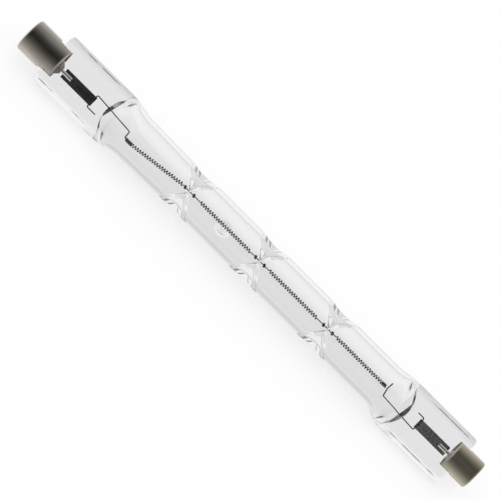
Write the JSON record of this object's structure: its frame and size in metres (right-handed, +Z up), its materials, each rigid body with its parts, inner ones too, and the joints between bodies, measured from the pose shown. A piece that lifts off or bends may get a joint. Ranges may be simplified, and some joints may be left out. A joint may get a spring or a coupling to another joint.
{
  "type": "linear halogen bulb",
  "caption": "Double-ended linear halogen bulb: clear quartz tube with flat pinch seals, coiled filament on dimple supports, and metal caps with recessed contacts.",
  "frame": {"origin": "centre of the bounding box at the surface that the bulb lies on", "axes": "+X along the bulb's axis, towards the end with the short cap. +Z up from the surface. The bulb lies on its tube and on the lower edge of the flat seal at +X, so the seals are rolled about 43 degrees from level."},
  "size_m": [0.1176, 0.01, 0.0098],
  "materials": {
    "quartz": "clear, polished",
    "tungsten": "drawn wire, dull dark grey",
    "molybdenum": "dark grey, satin",
    "nickel": "satin nickel plate, slightly warm",
    "contact_metal": "turned, satin",
    "cement": "grey, grainy, matt"
  },
  "bodies": {
    "root": {"envelope": "quartz", "filament": "tungsten", "inner_lead_left": "molybdenum", "inner_lead_right": "molybdenum", "foil_left": "molybdenum", "foil_right": "molybdenum", "outer_lead_left": "molybdenum", "outer_lead_right": "molybdenum", "cap_sleeve_left": "nickel", "cap_sleeve_right": "nickel", "contact_left": "contact_metal", "contact_right": "contact_metal", "cap_cement_left": "cement", "cap_cement_right": "cement"}
  },
  "joints": []
}
